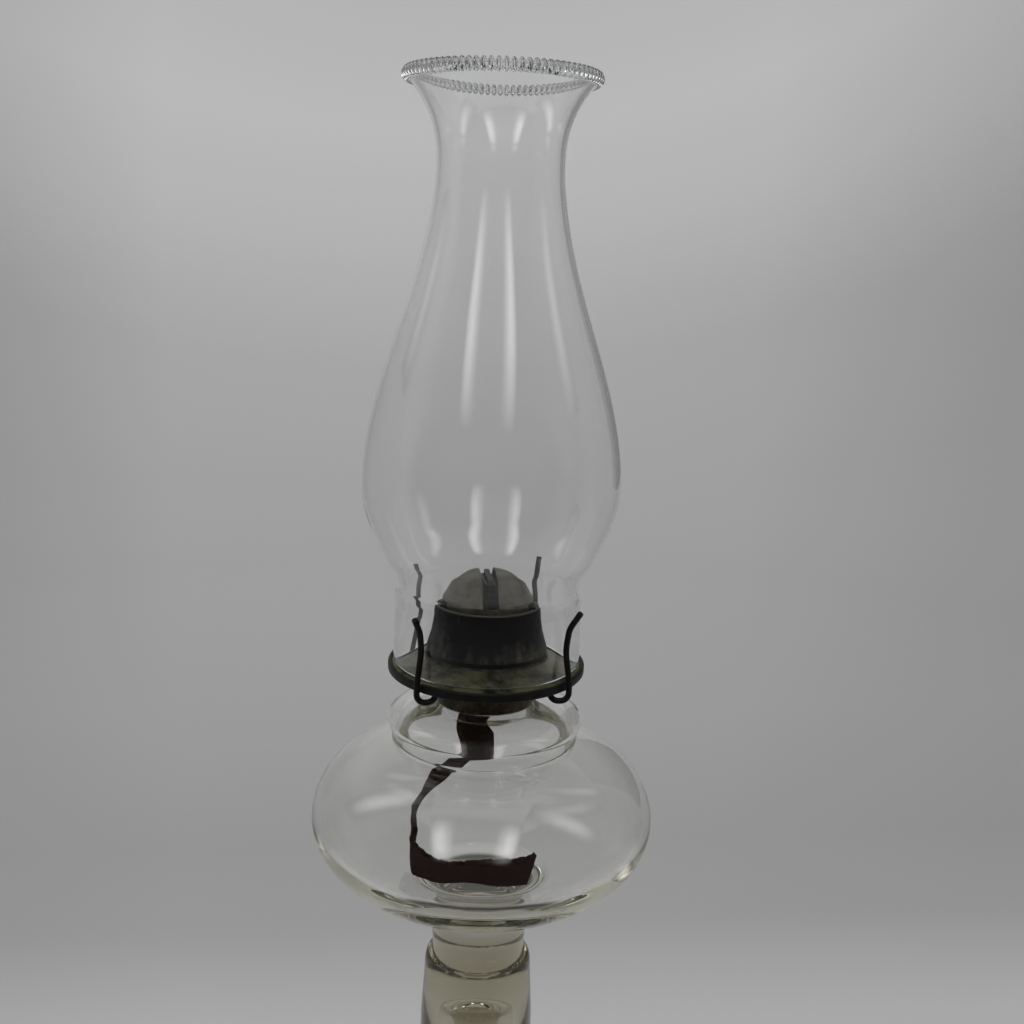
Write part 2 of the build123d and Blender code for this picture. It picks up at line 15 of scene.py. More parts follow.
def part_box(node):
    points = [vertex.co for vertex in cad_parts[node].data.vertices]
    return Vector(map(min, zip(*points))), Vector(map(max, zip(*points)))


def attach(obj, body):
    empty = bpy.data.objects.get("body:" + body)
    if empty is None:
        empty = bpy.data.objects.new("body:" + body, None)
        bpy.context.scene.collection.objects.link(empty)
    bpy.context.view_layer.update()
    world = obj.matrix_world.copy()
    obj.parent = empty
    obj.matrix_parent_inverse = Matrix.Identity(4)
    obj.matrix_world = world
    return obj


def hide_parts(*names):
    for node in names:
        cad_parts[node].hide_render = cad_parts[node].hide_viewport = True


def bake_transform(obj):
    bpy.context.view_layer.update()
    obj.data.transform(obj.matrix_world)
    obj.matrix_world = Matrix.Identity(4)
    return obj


bl_info = {
    "name": "Oil lamp",
    "version": (1, 0, 0),
    "blender": (4, 5, 0),
    "location": "View3D > Sidebar > Oil lamp",
    "description": "Builds the glass, brass and wick of a flat-wick oil lamp over its solids",
    "category": "Add Mesh",
}

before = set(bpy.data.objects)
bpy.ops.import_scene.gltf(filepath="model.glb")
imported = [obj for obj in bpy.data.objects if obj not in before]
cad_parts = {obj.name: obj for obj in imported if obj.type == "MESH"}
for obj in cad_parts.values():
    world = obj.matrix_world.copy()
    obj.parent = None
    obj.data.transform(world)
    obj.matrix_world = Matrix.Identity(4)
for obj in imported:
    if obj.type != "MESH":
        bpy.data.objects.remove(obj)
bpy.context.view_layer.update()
MM = 0.001

# Profile of the pressed glass, in millimetres
FOOT_R, FOOT_EDGE, FOOT_RING = 58.0, 3.5, 8.0
STEM_R, STEM_LOW_Z, STEM_TOP_R, SHOULDER_Z = 20.2, 78.0, 19.1, 97.5
HOLLOW_R, HOLLOW_Z, HOLLOW_TOP_Z = 8.0, 80.0, 86.0
WAIST_R, WAIST_Z, WAIST_TOP_R, WAIST_TOP_Z = 16.2, 102.5, 16.7, 109.5
BODY_R, BODY_Z, BODY_RISE, BODY_DROP, UNDER_R = 59.3, 157.0, 34.0, 31.5, 26.0
FLOOR_Z, GLASS_WALL, STEP_R, CAP_R, CAP_WALL = 134.0, 3.7, 31.3, 33.4, 6.0
NECK_R, NECK_BORE_R, NECK_FOOT_Z, NECK_TOP_Z = 14.6, 12.0, 198.7, 204.9

# Profile of the chimney, in millimetres above its seat
FITTER_R, FITTER_RISE, PINCH_R, PINCH_RISE = 31.75, 22.0, 30.5, 25.6
CHEEK_R, CHEEK_RISE, BULGE_R, BULGE_RISE = 36.2, 37.4, 43.0, 60.2
THROAT_R, THROAT_RISE, CROWN_R, CROWN_RISE = 20.4, 163.0, 29.3, 187.1
CHIMNEY_WALL, PEARL_R, PEARL_RISE, PEARL_NARROW = 1.7, 2.2, 188.3, 0.52

# Path of the wick, in millimetres
WICK_TOP_Z, TUBE_FOOT_Z, BEND_Z, COIL_Z, WICK_BEND = 243.2, 201.0, 155.2, 145.2, 10.0
WICK_DRIFT, WICK_WAVE, WAVE_RUN, WICK_TWIST = 24.0, 6.8, 0.4, math.radians(27.0)
SWING_START, SWING_EASE, SWING_LEAD = 0.36, 0.14, 0.55
COIL_WIDE, COIL_DEEP, LEAN_RUN = 27.0, 14.0, 0.8
COIL_TURN, COIL_LEAN = math.radians(116.0), math.radians(34.0)
WICK_RUNS = (42.2, 60.2, 15.7, 45.0)
LOOSE_FROM, LOOSE_RUN, FRAY = 60.0, 30.0, 0.6
SLUMP, SLUMP_AT, SLUMP_RUN = 2.6, 134.0, 11.0
WARP_THREADS, WEFT_THREADS = 26, 210

# Camera: picture and focal length in pixels, angles in degrees, places in metres
PICTURE, FOCAL = 1024.0, 1200.0
PITCH, ROLL, YAW, RIG_TURN = 12.66, 1.9, 1.05, -6.0
CAMERA_BACK, CAMERA_HEIGHT = 0.3904, 0.3525

# Paper sweep: cove and wall in millimetres, places in metres, bearings in radians
COVE, WALL_TOP, PAPER_SINK = 300.0, 2200.0, 0.2
# EDGE_LOSS, LEFT_EDGE and RIGHT_EDGE set painted shade towards the sides of the sweep
EYE_X, EYE_Y, EDGE_LOSS = 0.041, 0.388, 0.18
LEFT_EDGE, RIGHT_EDGE = (-0.30, -0.16), (0.32, 0.54)
FRONT_DARK, UNDER_FOOT = (-0.4, -0.08), (0.060, 0.080)
PAPER_GLOW, BOUNCES = 0.6, 96


class LampGlassSettings(bpy.types.PropertyGroup):
    base_tint: FloatVectorProperty(
        name="Font tint",
        description="Colour that thick pressed glass takes on",
        subtype="COLOR",
        default=(0.66, 0.64, 0.44),
        min=0.0,
        max=1.0,
    )
    base_density: FloatProperty(
        name="Font tint strength",
        description="How fast the tint builds up inside the pressed glass",
        default=7.0,
        min=0.0,
    )
    # Olive of the thick stem, deepened at the shoulder as painted shade
    stem_tint_and_shade: FloatVectorProperty(
        name="Stem stain",
        description="Colour of the thick stem under the font",
        subtype="COLOR",
        default=(0.46, 0.42, 0.29),
        min=0.0,
        max=1.0,
    )
    pearls: IntProperty(
        name="Pearls",
        description="Beads round the rim of the chimney",
        default=84,
        min=12,
        max=160,
    )
    turns: IntProperty(
        name="Facets round",
        description="Steps of a full spin of a glass profile",
        default=168,
        min=32,
        max=256,
    )


class LampBurnerSettings(bpy.types.PropertyGroup):
    olive: FloatVectorProperty(
        name="Olive patina",
        description="Light patches of the aged brass",
        subtype="COLOR",
        default=(0.175, 0.160, 0.082),
        min=0.0,
        max=1.0,
    )
    umber: FloatVectorProperty(
        name="Umber patina",
        description="Dark patches of the aged brass",
        subtype="COLOR",
        default=(0.018, 0.016, 0.012),
        min=0.0,
        max=1.0,
    )
    soot: FloatVectorProperty(
        name="Soot",
        description="Colour of the blackened drum",
        subtype="COLOR",
        default=(0.0045, 0.0045, 0.0045),
        min=0.0,
        max=1.0,
    )


class LampWickSettings(bpy.types.PropertyGroup):
    width: FloatProperty(
        name="Wick width",
        description="Width of the flat woven wick",
        default=15.9 * MM,
        unit="LENGTH",
    )
    thickness: FloatProperty(
        name="Wick thickness",
        description="Thickness of the woven wick",
        default=1.7 * MM,
        unit="LENGTH",
    )
    soaked: FloatVectorProperty(
        name="Soaked cotton",
        description="Colour of the wick in the font",
        subtype="COLOR",
        default=(0.052, 0.020, 0.0155),
        min=0.0,
        max=1.0,
    )


class LampStageSettings(bpy.types.PropertyGroup):
    sweep_radius: FloatProperty(
        name="Sweep radius",
        description="Radius of the round paper sweep",
        default=1.25,
        unit="LENGTH",
    )
    window_glow: FloatProperty(
        name="Window glow",
        description="Brightness of the front window's edges",
        default=3.8,
        min=0.0,
    )
    side_glow: FloatProperty(
        name="Side glow",
        description="Brightness of the windows at the sides",
        default=2.1,
        min=0.0,
    )
    front_shade: FloatProperty(
        name="Front shade",
        description="How dark the front of the sweep is in reflections",
        default=0.85,
        min=0.0,
        max=1.0,
    )
    foot_shade: FloatProperty(
        name="Foot shade",
        description="How bright the paper is under the foot",
        default=0.12,
        min=0.0,
        max=1.0,
    )
    top_power: FloatProperty(
        name="Top power",
        description="Power of the soft light overhead",
        default=14.0,
        unit="POWER",
    )


def deselect():
    if bpy.context.object and bpy.context.object.mode != "OBJECT":
        bpy.ops.object.mode_set(mode="OBJECT")
    bpy.ops.object.select_all(action="DESELECT")


def name_piece(name):
    piece = bpy.context.object
    piece.name = name
    piece.data.name = name
    return piece


def turned(name, line, turns, sharp=40.0):
    """Draws a profile of (radius, height) in millimetres and spins it round the lamp's axis."""
    deselect()
    bpy.ops.mesh.primitive_plane_add(size=MM)
    piece = name_piece(name)
    bpy.ops.object.mode_set(mode="EDIT")
    bpy.ops.mesh.select_all(action="SELECT")
    bpy.ops.mesh.merge(type="CENTER")
    bpy.ops.transform.translate(value=(line[0][0] * MM, 0, line[0][1] * MM))
    for (r0, z0), (r1, z1) in zip(line, line[1:]):
        bpy.ops.mesh.extrude_region_move(
            TRANSFORM_OT_translate={"value": ((r1 - r0) * MM, 0, (z1 - z0) * MM)}
        )
    bpy.ops.mesh.select_all(action="SELECT")
    bpy.ops.mesh.spin(steps=turns, angle=math.tau, center=(0, 0, 0), axis=(0, 0, 1))
    bpy.ops.mesh.select_all(action="SELECT")
    bpy.ops.mesh.remove_doubles(threshold=2e-6)
    bpy.ops.mesh.normals_make_consistent(inside=False)
    bpy.ops.object.mode_set(mode="OBJECT")
    bpy.ops.object.shade_smooth_by_angle(angle=math.radians(sharp))
    return piece


def parts_of(count):
    return [i / count for i in range(count + 1)]


def bow(p, u, q, v, count):
    """A smooth curve from p, leaving along u, to q, arriving along v."""
    run = math.dist(p, q)
    u = [c * run / math.hypot(*u) for c in u]
    v = [c * run / math.hypot(*v) for c in v]
    line = []
    for t in parts_of(count):
        a, b = 2 * t**3 - 3 * t**2 + 1, t**3 - 2 * t**2 + t
        c, d = 3 * t**2 - 2 * t**3, t**3 - t**2
        line.append(tuple(a * p[i] + b * u[i] + c * q[i] + d * v[i] for i in (0, 1)))
    return line


def oval(wide, tall, z, first, last, count):
    return [
        (wide * math.cos(w), z + tall * math.sin(w))
        for w in (first + (last - first) * t for t in parts_of(count))
    ]


def joined(*runs):
    """One line from several runs, without doubled points."""
    line = []
    for run in runs:
        for point in run:
            if not line or math.dist(point, line[-1]) > 0.01:
                line.append(point)
    return line


def rounded(p, corner, q, radius, count=4):
    """Replaces a corner between p and q by a small round."""
    a = Vector(p) - Vector(corner)
    b = Vector(q) - Vector(corner)
    a.normalize()
    b.normalize()
    start, end = Vector(corner) + a * radius, Vector(corner) + b * radius
    return bow(tuple(start), tuple(-a), tuple(end), tuple(b), count)


def inset(line, wall):
    moved = []
    for i, (r, z) in enumerate(line):
        a = line[max(i - 1, 0)]
        b = line[min(i + 1, len(line) - 1)]
        run = math.dist(a, b)
        moved.append((r - wall * (b[1] - a[1]) / run, z + wall * (b[0] - a[0]) / run))
    return moved


def new_finish(name):
    finish = bpy.data.materials.new(name)
    finish.use_nodes = True
    nodes = finish.node_tree.nodes
    return finish, nodes, finish.node_tree.links, nodes["Principled BSDF"]


def ramp(nodes, stops):
    node = nodes.new("ShaderNodeValToRGB")
    edge = node.color_ramp.elements
    while len(edge) < len(stops):
        edge.new(0.5)
    for element, (place, colour) in zip(edge, stops):
        element.position = place
    for element, (place, colour) in zip(edge, stops):
        element.color = (*colour, 1.0)
    return node


def noise(nodes, links, coords, scale, detail=4.0, rough=0.55):
    node = nodes.new("ShaderNodeTexNoise")
    node.inputs["Scale"].default_value = scale
    node.inputs["Detail"].default_value = detail
    node.inputs["Roughness"].default_value = rough
    links.new(coords, node.inputs["Vector"])
    return node.outputs["Fac"]


def spread(nodes, links, source, low, high, to_low, to_high):
    node = nodes.new("ShaderNodeMapRange")
    for name, value in (
        ("From Min", low),
        ("From Max", high),
        ("To Min", to_low),
        ("To Max", to_high),
    ):
        node.inputs[name].default_value = value
    links.new(source, node.inputs["Value"])
    return node.outputs["Result"]


def reckon(nodes, links, operation, a, b):
    node = nodes.new("ShaderNodeMath")
    node.operation = operation
    for socket, value in zip(node.inputs, (a, b)):
        if isinstance(value, (int, float)):
            socket.default_value = value
        else:
            links.new(value, socket)
    return node.outputs["Value"]


def mixed(nodes, links, share, first, second):
    """A colour between two others, each a socket or a fixed colour."""
    node = nodes.new("ShaderNodeMix")
    node.data_type = "RGBA"
    factor, one, other = node.inputs[0], node.inputs[6], node.inputs[7]
    links.new(share, factor)
    for socket, colour in ((one, first), (other, second)):
        if isinstance(colour, bpy.types.NodeSocket):
            links.new(colour, socket)
        else:
            socket.default_value = (*colour, 1.0)
    return node.outputs[2]


def bump(nodes, links, height, strength, distance, bsdf):
    node = nodes.new("ShaderNodeBump")
    node.inputs["Strength"].default_value = strength
    node.inputs["Distance"].default_value = distance
    links.new(height, node.inputs["Height"])
    links.new(node.outputs["Normal"], bsdf.inputs["Normal"])


def object_coords(nodes):
    return nodes.new("ShaderNodeTexCoord").outputs["Object"]


def clear_glass(name, tint, density, ripple, ripple_scale, tint_and_shade=None):
    """Clear glass with the slow ripple of a worked surface and a tint that builds with thickness.
    The stem tint (low, mid, high, colour) colours it most at the middle height and not above the high one;
    that deepest colour is partly the glass's own olive and partly painted shade."""
    finish, nodes, links, bsdf = new_finish(name)
    bsdf.inputs["Base Color"].default_value = (1.0, 1.0, 1.0, 1.0)
    # Painted shade: the tint is deepest at the stem's shoulder, on top of the glass's own olive.
    if tint_and_shade:
        low, mid, high, colour = tint_and_shade
        split = nodes.new("ShaderNodeSeparateXYZ")
        links.new(object_coords(nodes), split.inputs["Vector"])
        rise = spread(nodes, links, split.outputs["Z"], low, high, 0.0, 1.0)
        thin = [0.5 + 0.5 * c for c in colour]
        shades = ramp(nodes, ((0.0, thin), ((mid - low) / (high - low), colour), (1.0, (1.0, 1.0, 1.0))))
        links.new(rise, shades.inputs["Fac"])
        links.new(shades.outputs["Color"], bsdf.inputs["Base Color"])
    bsdf.inputs["Roughness"].default_value = 0.0
    bsdf.inputs["IOR"].default_value = 1.5
    bsdf.inputs["Transmission Weight"].default_value = 1.0
    waves = noise(nodes, links, object_coords(nodes), ripple_scale, 1.0, 0.4)
    bump(nodes, links, waves, ripple, 0.002, bsdf)
    if density:
        depth = nodes.new("ShaderNodeVolumeAbsorption")
        depth.inputs["Color"].default_value = (*tint, 1.0)
        depth.inputs["Density"].default_value = density
        links.new(depth.outputs["Volume"], nodes["Material Output"].inputs["Volume"])
    return finish


def aged_metal(
    name,
    stops,
    scale,
    metallic,
    gloss,
    grain,
    shine=0.5,
    streaks=0.0,
    fade=None,
    painted_highlight=None,
    dark=None,
):
    """Metal with a cloudy patina. fade (low, high, shift) moves the patina along its colours between
    two heights, the painted highlight (low, high, colour) lightens it from there up, and dark (low,
    high, colour) paints a groove shadow between two heights."""
    finish, nodes, links, bsdf = new_finish(name)
    coords = object_coords(nodes)
    cloud = noise(nodes, links, coords, scale, 6.0, 0.62)
    fine = noise(nodes, links, coords, scale * 6, 5.0, 0.6)
    mottle = reckon(nodes, links, "MULTIPLY_ADD", fine, 0.35)
    links.new(cloud, mottle.node.inputs[2])
    split = nodes.new("ShaderNodeSeparateXYZ")
    links.new(coords, split.inputs["Vector"])
    if streaks:
        drawn = nodes.new("ShaderNodeMapping")
        drawn.inputs["Scale"].default_value = (1.0, 1.0, 0.06)
        links.new(coords, drawn.inputs["Vector"])
        runs = noise(nodes, links, drawn.outputs["Vector"], scale * 5, 3.0, 0.5)
        lines = spread(nodes, links, runs, 0.35, 0.65, -streaks, streaks)
        mottle = reckon(nodes, links, "ADD", mottle, lines)
    if fade:
        low, high, shift = fade
        slide = spread(nodes, links, split.outputs["Z"], low, high, 0.0, shift)
        mottle = reckon(nodes, links, "ADD", mottle, slide)
    shades = ramp(nodes, stops)
    links.new(mottle, shades.inputs["Fac"])
    colour = shades.outputs["Color"]
    # Painted highlight: the colour turns lighter from the low height up.
    if painted_highlight:
        low, high, highlight_colour = painted_highlight
        highlight_share = spread(nodes, links, split.outputs["Z"], low, high, 0.0, 1.0)
        colour = mixed(nodes, links, highlight_share, colour, highlight_colour)
    # Painted shadow: a dark band between two heights stands in for the shade in a groove.
    if dark:
        low, high, groove_shade_colour = dark
        under = reckon(nodes, links, "GREATER_THAN", split.outputs["Z"], low)
        over = reckon(nodes, links, "LESS_THAN", split.outputs["Z"], high)
        colour = mixed(nodes, links, reckon(nodes, links, "MULTIPLY", under, over), colour, groove_shade_colour)
    links.new(colour, bsdf.inputs["Base Color"])
    bsdf.inputs["Metallic"].default_value = metallic
    bsdf.inputs["Specular IOR Level"].default_value = shine
    links.new(
        spread(nodes, links, fine, 0.3, 0.7, gloss[0], gloss[1]),
        bsdf.inputs["Roughness"],
    )
    grit = noise(nodes, links, coords, scale * 18, 3.0, 0.6)
    bump(nodes, links, grit, grain, 0.0003, bsdf)
    return finish


def dress(node_name, finish):
    """Gives a solid from the frame its finish."""
    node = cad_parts[node_name]
    node.data.materials.clear()
    node.data.materials.append(finish)


class LAMP_OT_glass_base(bpy.types.Operator):
    """Spins the foot, stem, font and neck as one piece of pressed glass"""

    bl_idname = "lamp.glass_base"
    bl_label = "Glass base"

    def execute(self, context):
        settings = context.scene.lamp_glass
        under = math.acos(UNDER_R / BODY_R)
        over = math.acos(STEP_R / BODY_R)
        under_z = BODY_Z - BODY_DROP * math.sin(under)
        step_z = BODY_Z + BODY_RISE * math.sin(over)
        cap_z = step_z + CAP_WALL
        in_r, in_rise, in_step_r = BODY_R - GLASS_WALL, BODY_RISE - GLASS_WALL, STEP_R - GLASS_WALL
        in_over = math.acos(in_step_r / in_r)
        in_step_z = BODY_Z + in_rise * math.sin(in_over)
        in_cap = (CAP_R - GLASS_WALL, in_step_z + CAP_WALL)
        in_neck_z = in_cap[1] + 7.0 - GLASS_WALL / 2
        step, cap = (STEP_R, step_z), (CAP_R, cap_z)
        in_step = (in_step_r, in_step_z)
        inner = oval(in_r, in_rise, BODY_Z, 0, in_over, 26)
        outer = oval(BODY_R, BODY_RISE, BODY_Z, over, 0, 30)
        flare = [
            (
                STEM_R + (FOOT_R - STEM_R) * (1 - t) ** 2.4,
                FOOT_EDGE + (STEM_LOW_Z - FOOT_EDGE) * t,
            )
            for t in parts_of(28)
        ][::-1]
        hollow = [
            (HOLLOW_R + (FOOT_R - FOOT_RING - HOLLOW_R) * (1 - t) ** 2.2, HOLLOW_Z * t)
            for t in parts_of(28)
        ]
        line = joined(
            oval(in_r, BODY_Z - FLOOR_Z, BODY_Z, -math.pi / 2, 0, 36),
            inner[:-1],
            rounded(inner[-2], in_step, in_cap, 0.9),
            bow(in_cap, (0, 1), (NECK_BORE_R, in_neck_z), (-1, 0), 16),
            rounded((NECK_BORE_R, NECK_FOOT_Z), (NECK_BORE_R, NECK_TOP_Z), (NECK_R, NECK_TOP_Z), 0.7),
            rounded((NECK_BORE_R, NECK_TOP_Z), (NECK_R, NECK_TOP_Z), (NECK_R, NECK_FOOT_Z), 0.7),
            rounded((NECK_R, NECK_TOP_Z), (NECK_R, NECK_FOOT_Z), (STEP_R, NECK_FOOT_Z), 0.7),
            bow((NECK_R + 1.0, NECK_FOOT_Z), (1, 0), cap, (0, -1), 18)[1:],
            rounded(cap, step, outer[1], 0.8),
            outer[1:],
            oval(BODY_R, BODY_DROP, BODY_Z, 0, -under, 36),
            bow(
                (UNDER_R, under_z),
                (-BODY_R * math.sin(under), -BODY_DROP * math.cos(under)),
                (WAIST_TOP_R, WAIST_TOP_Z),
                (0, -1),
                10,
            ),
            rounded((WAIST_TOP_R, WAIST_TOP_Z), (WAIST_R, WAIST_Z), (STEM_TOP_R, WAIST_Z), 0.8),
            bow((WAIST_R + 0.8, WAIST_Z), (1, 0), (STEM_TOP_R, SHOULDER_Z), (0, -1), 10)[1:],
            flare[:-1],
            rounded(flare[-2], (FOOT_R, FOOT_EDGE), (FOOT_R, 0), 0.8),
            rounded((FOOT_R, FOOT_EDGE), (FOOT_R, 0), (FOOT_R - FOOT_RING, 0), 1.2),
            rounded((FOOT_R, 0), hollow[0], hollow[1], 0.8),
            hollow[1:],
            bow(hollow[-1], (0, 1), (0, HOLLOW_TOP_Z), (-1, 0), 12),
        )
        body = turned("glass_base", line, settings.turns)
        body.data.materials.append(
            clear_glass(
                "pressed_glass",
                settings.base_tint,
                settings.base_density,
                0.02,
                60.0,
                # stem tint, deepest at the shoulder as painted shade
                (0.050, 0.104, 0.126, settings.stem_tint_and_shade),
            )
        )
        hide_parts("pedestal", "font", "font_cap")
        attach(body, "lamp_base")
        return {"FINISHED"}


class LAMP_OT_chimney(bpy.types.Operator):
    """Spins the chimney and sets the pearls round its rim"""

    bl_idname = "lamp.chimney"
    bl_label = "Chimney"

    def execute(self, context):
        settings = context.scene.lamp_glass
        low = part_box("chimney")[0][2] / MM
        side = joined(
            bow((PINCH_R, PINCH_RISE), (0.1, 1), (CHEEK_R, CHEEK_RISE), (0.42, 1), 12),
            bow((CHEEK_R, CHEEK_RISE), (0.42, 1), (BULGE_R, BULGE_RISE), (0, 1), 16),
            [
                (
                    BULGE_R + (THROAT_R - BULGE_R) * t * t * (3 - 2 * t),
                    BULGE_RISE + (THROAT_RISE - BULGE_RISE) * t,
                )
                for t in parts_of(48)
            ],
            [
                (
                    THROAT_R + (CROWN_R - THROAT_R) * t**2.4,
                    THROAT_RISE + (CROWN_RISE - THROAT_RISE) * t,
                )
                for t in parts_of(20)
            ],
        )
        inside = inset(side, CHIMNEY_WALL)
        seat_r = FITTER_R - CHIMNEY_WALL
        lip = tuple(b - a for a, b in zip(side[-2], side[-1]))
        line = joined(
            rounded((seat_r, FITTER_RISE), (seat_r, 0), (FITTER_R, 0), 0.6),
            rounded((seat_r, 0), (FITTER_R, 0), (FITTER_R, FITTER_RISE), 0.6),
            rounded((FITTER_R, 0), (FITTER_R, FITTER_RISE), side[0], 1.6, 6),
            side,
            bow(side[-1], lip, inside[-1], tuple(-c for c in lip), 6),
            inside[::-1],
            rounded(inside[0], (seat_r, FITTER_RISE), (seat_r, 0), 1.6, 6),
            [(seat_r, 0.6)],
        )
        shell = turned("chimney_glass", [(r, z + low) for r, z in line], settings.turns)
        shell.data.materials.append(
            clear_glass("blown_glass", (0.80, 0.92, 0.88), 9.0, 0.03, 45.0)
        )
        deselect()
        bpy.ops.mesh.primitive_uv_sphere_add(
            segments=10,
            ring_count=8,
            radius=PEARL_R * MM,
            location=(CROWN_R * MM, 0, (low + PEARL_RISE) * MM),
            scale=(1.0, PEARL_NARROW, 1.0),
        )
        pearl = bpy.context.object
        bpy.ops.object.transform_apply()
        bpy.ops.object.mode_set(mode="EDIT")
        bpy.ops.mesh.select_all(action="SELECT")
        bpy.ops.mesh.spin(
            steps=settings.pearls - 1,
            dupli=True,
            angle=math.tau * (settings.pearls - 1) / settings.pearls,
            center=(0, 0, 0),
            axis=(0, 0, 1),
        )
        bpy.ops.object.mode_set(mode="OBJECT")
        union = shell.modifiers.new("Pearls", "BOOLEAN")
        union.operation = "UNION"
        union.solver = "EXACT"
        union.use_self = True
        union.object = pearl
        deselect()
        shell.select_set(True)
        bpy.context.view_layer.objects.active = shell
        bpy.ops.object.modifier_apply(modifier=union.name)
        bpy.ops.object.shade_smooth_by_angle(angle=math.radians(40))
        bpy.data.objects.remove(pearl)
        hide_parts("chimney")
        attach(shell, "chimney")
        return {"FINISHED"}


class LAMP_OT_burner(bpy.types.Operator):
    """Gives the brass and iron of the burner their patina"""

    bl_idname = "lamp.burner"
    bl_label = "Burner"

    def execute(self, context):
        settings = context.scene.lamp_burner
        olive, umber, soot = settings.olive, settings.umber, settings.soot
        mid = tuple((a + b) / 2 for a, b in zip(olive, umber))
        pale = tuple(c * 1.35 for c in olive)
        brass = aged_metal(
            "aged_brass",
            ((0.52, umber), (0.61, mid), (0.69, olive), (0.80, pale)),
            85.0,
            0.6,
            (0.34, 0.6),
            0.3,
        )
        sooted = aged_metal(
            "sooted_brass",
            ((0.50, (0.125, 0.112, 0.080)), (0.70, (0.045, 0.041, 0.032)), (0.92, soot), (1.0, soot)),
            80.0,
            0.0,
            (0.46, 0.64),
            0.04,
            shine=0.25,
            streaks=0.10,
            fade=(0.2192, 0.2275, 0.40),
            # Painted highlight: a lighter band along the drum's top lip.
            painted_highlight=(0.2332, 0.2337, (0.13, 0.118, 0.095)),
            # Painted shadow: a soot-black band in the groove at the drum's foot.
            dark=(0.2177, 0.2192, soot),
        )
        dull = aged_metal(
            "heat_greyed_brass",
            ((0.45, (0.085, 0.079, 0.062)), (0.66, (0.195, 0.182, 0.148)), (0.9, (0.30, 0.28, 0.23))),
            110.0,
            0.3,
            (0.5, 0.72),
            0.45,
            shine=0.3,
        )
        black = aged_metal(
            "black_iron",
            ((0.4, (0.0035, 0.0035, 0.0035)), (0.7, (0.008, 0.0076, 0.007)), (0.95, (0.026, 0.021, 0.016))),
            160.0,
            0.1,
            (0.36, 0.6),
            0.3,
            shine=0.25,
        )
        rust = aged_metal(
            "browned_brass",
            ((0.45, (0.012, 0.010, 0.007)), (0.66, (0.055, 0.042, 0.028)), (0.88, (0.17, 0.135, 0.09))),
            120.0,
            0.5,
            (0.34, 0.6),
            0.3,
            shine=0.3,
        )
        tube = aged_metal(
            "charred_brass",
            ((0.4, (0.012, 0.012, 0.012)), (0.65, (0.034, 0.033, 0.032)), (0.9, (0.080, 0.076, 0.068))),
            140.0,
            0.4,
            (0.36, 0.6),
            0.3,
            shine=0.3,
            streaks=0.16,
        )
        plaster = aged_metal(
            "set_plaster",
            ((0.4, (0.48, 0.44, 0.37)), (0.8, (0.70, 0.66, 0.58))),
            150.0,
            0.0,
            (0.8, 0.95),
            0.5,
        )
        steel = aged_metal(
            "winder_steel",
            ((0.4, (0.10, 0.09, 0.08)), (0.8, (0.33, 0.31, 0.28))),
            140.0,
            0.9,
            (0.28, 0.5),
            0.2,
        )
        for name in ("thread_shell", "air_basket", "winder_bush", "gallery_plate", "air_diffuser"):
            dress(name, brass)
        for name in ("star_wheel_front", "star_wheel_back", "thumb_wheel"):
            dress(name, brass)
        dress("winder_shaft", steel)
        dress("wick_tube", tube)
        dress("drum", sooted)
        dress("flame_dome", dull)
        dress("collar", rust)
        dress("collar_cement", plaster)
        dress("gallery_rim", black)
        for name in ("back_right", "back_left", "front_left", "front_right"):
            dress("prong_" + name, black)
        return {"FINISHED"}


def wick_drift(t):
    """How far the hanging wick has moved sideways, t being its share of the way down."""
    wave = math.sin(math.pi * min(t / WAVE_RUN, 1.0)) ** 2
    swing = max(t - SWING_START, 0.0) / (1 - SWING_START)
    soft = min(swing / SWING_EASE, 1.0)
    swing *= (1 + SWING_LEAD * (1 - swing)) * soft * soft * (3 - 2 * soft)
    return -WICK_DRIFT * swing - WICK_WAVE * wave


def wick_station(s):
    """Place, way ahead and way across of the wick, s millimetres from its top."""
    in_tube, hanging, bending, coiled = WICK_RUNS
    if s <= in_tube:
        return Vector((0, 0, WICK_TOP_Z - s)), Vector((0, 0, -1)), Vector((0, 1, 0))
    s -= in_tube
    if s <= hanging:
        t, near = s / hanging, 0.02
        early, late = max(t - near, 0.0), min(t + near, 1.0)
        drop = TUBE_FOOT_Z - BEND_Z
        ahead = Vector((wick_drift(late) - wick_drift(early), 0, drop * (early - late))).normalized()
        twist = WICK_TWIST * math.sin(math.pi * t) * (1 + 0.5 * t)
        across = Vector((0, 1, 0)) * math.cos(twist) + ahead.cross(Vector((0, 1, 0))) * math.sin(twist)
        return Vector((wick_drift(t), 0, TUBE_FOOT_Z - drop * t)), ahead, across
    s -= hanging
    if s <= bending:
        w = s / WICK_BEND
        spot = Vector((-WICK_DRIFT, -WICK_BEND * (1 - math.cos(w)), BEND_Z - WICK_BEND * math.sin(w)))
        return spot, Vector((0, -math.sin(w), -math.cos(w))), Vector((0, math.cos(w), -math.sin(w)))
    t = min((s - bending) / coiled, 1.0)
    w = COIL_TURN * t
    spot = Vector((COIL_WIDE * (1 - math.cos(w)) - WICK_DRIFT, -WICK_BEND - COIL_DEEP * math.sin(w), COIL_Z))
    ahead = Vector((COIL_WIDE * math.sin(w), -COIL_DEEP * math.cos(w), 0)).normalized()
    lean = COIL_LEAN * math.sin(math.pi * t * LEAN_RUN)
    return spot, ahead, Vector((0, 0, 1)).cross(ahead) * math.sin(lean) - Vector((0, 0, 1)) * math.cos(lean)


